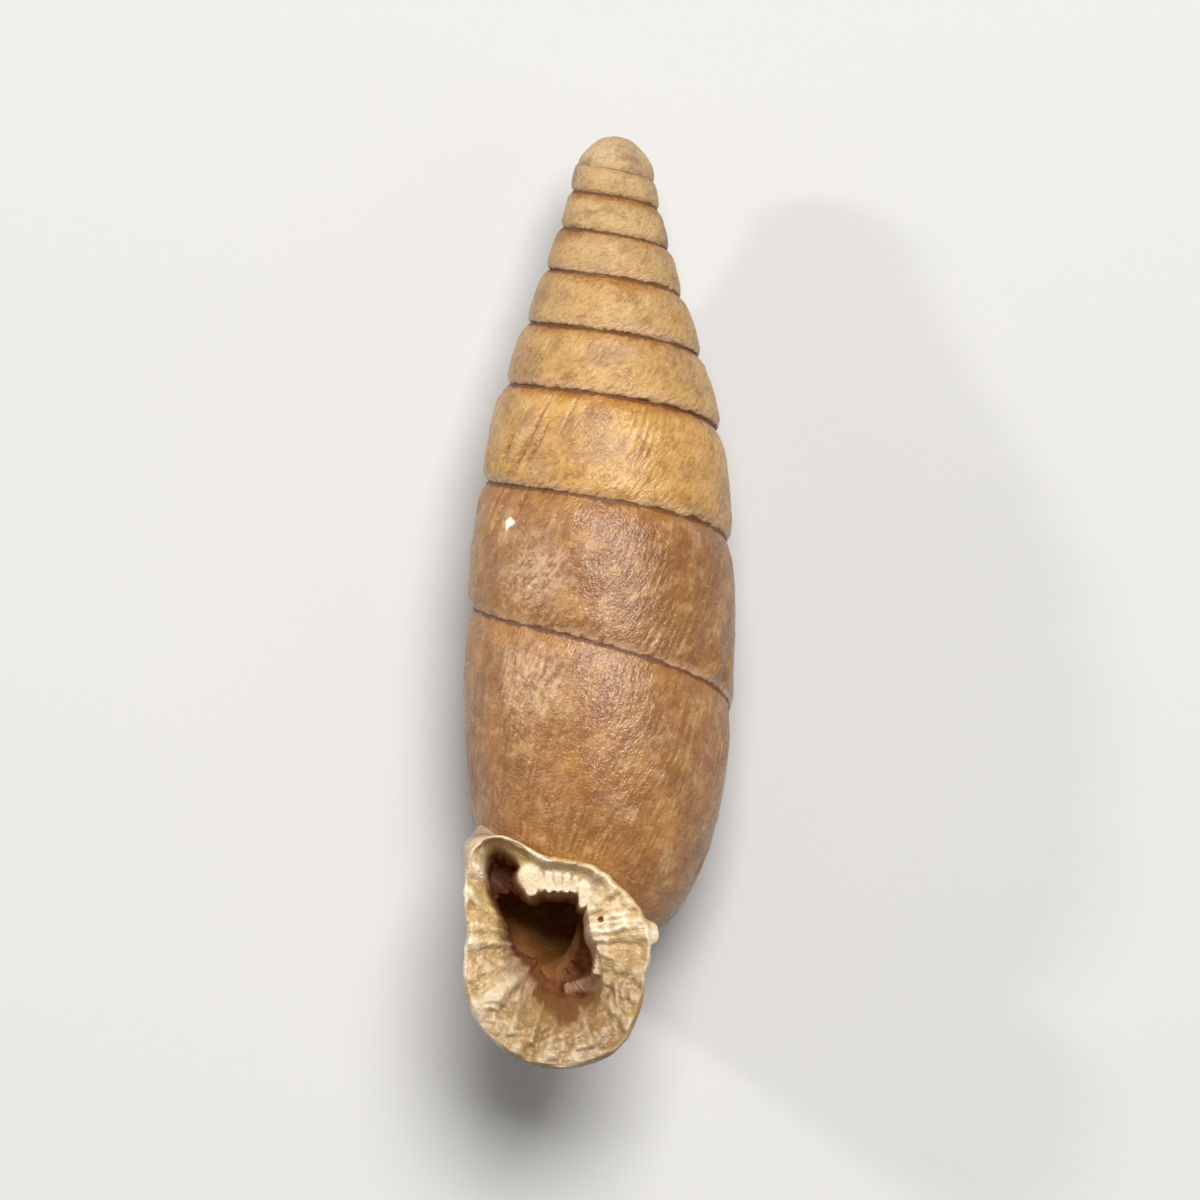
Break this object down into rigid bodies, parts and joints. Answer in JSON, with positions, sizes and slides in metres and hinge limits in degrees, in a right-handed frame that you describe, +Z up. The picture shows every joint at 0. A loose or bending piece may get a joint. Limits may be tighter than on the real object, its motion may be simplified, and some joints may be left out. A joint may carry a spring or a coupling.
{
  "type": "land snail shell",
  "caption": "Slender left-handed door snail shell with a tall ribbed spire, brown whorls and a pale flared lip with teeth, lying mouth up.",
  "frame": {"origin": "middle of the bounding box seen from above, at the height of the surface the shell lies on", "axes": "+Y along the shell's axis towards the tip of the spire, +Z up out of the mouth, +X towards the side away from the mouth"},
  "size_m": [0.0058, 0.0204, 0.0055],
  "materials": {
    "shell": "grown limy shell under a thin brown horny skin, ribbed, with a soft satin gloss; paler and worn at the tip, ivory at the lip"
  },
  "bodies": {
    "root": {"shell": "shell"}
  },
  "joints": []
}
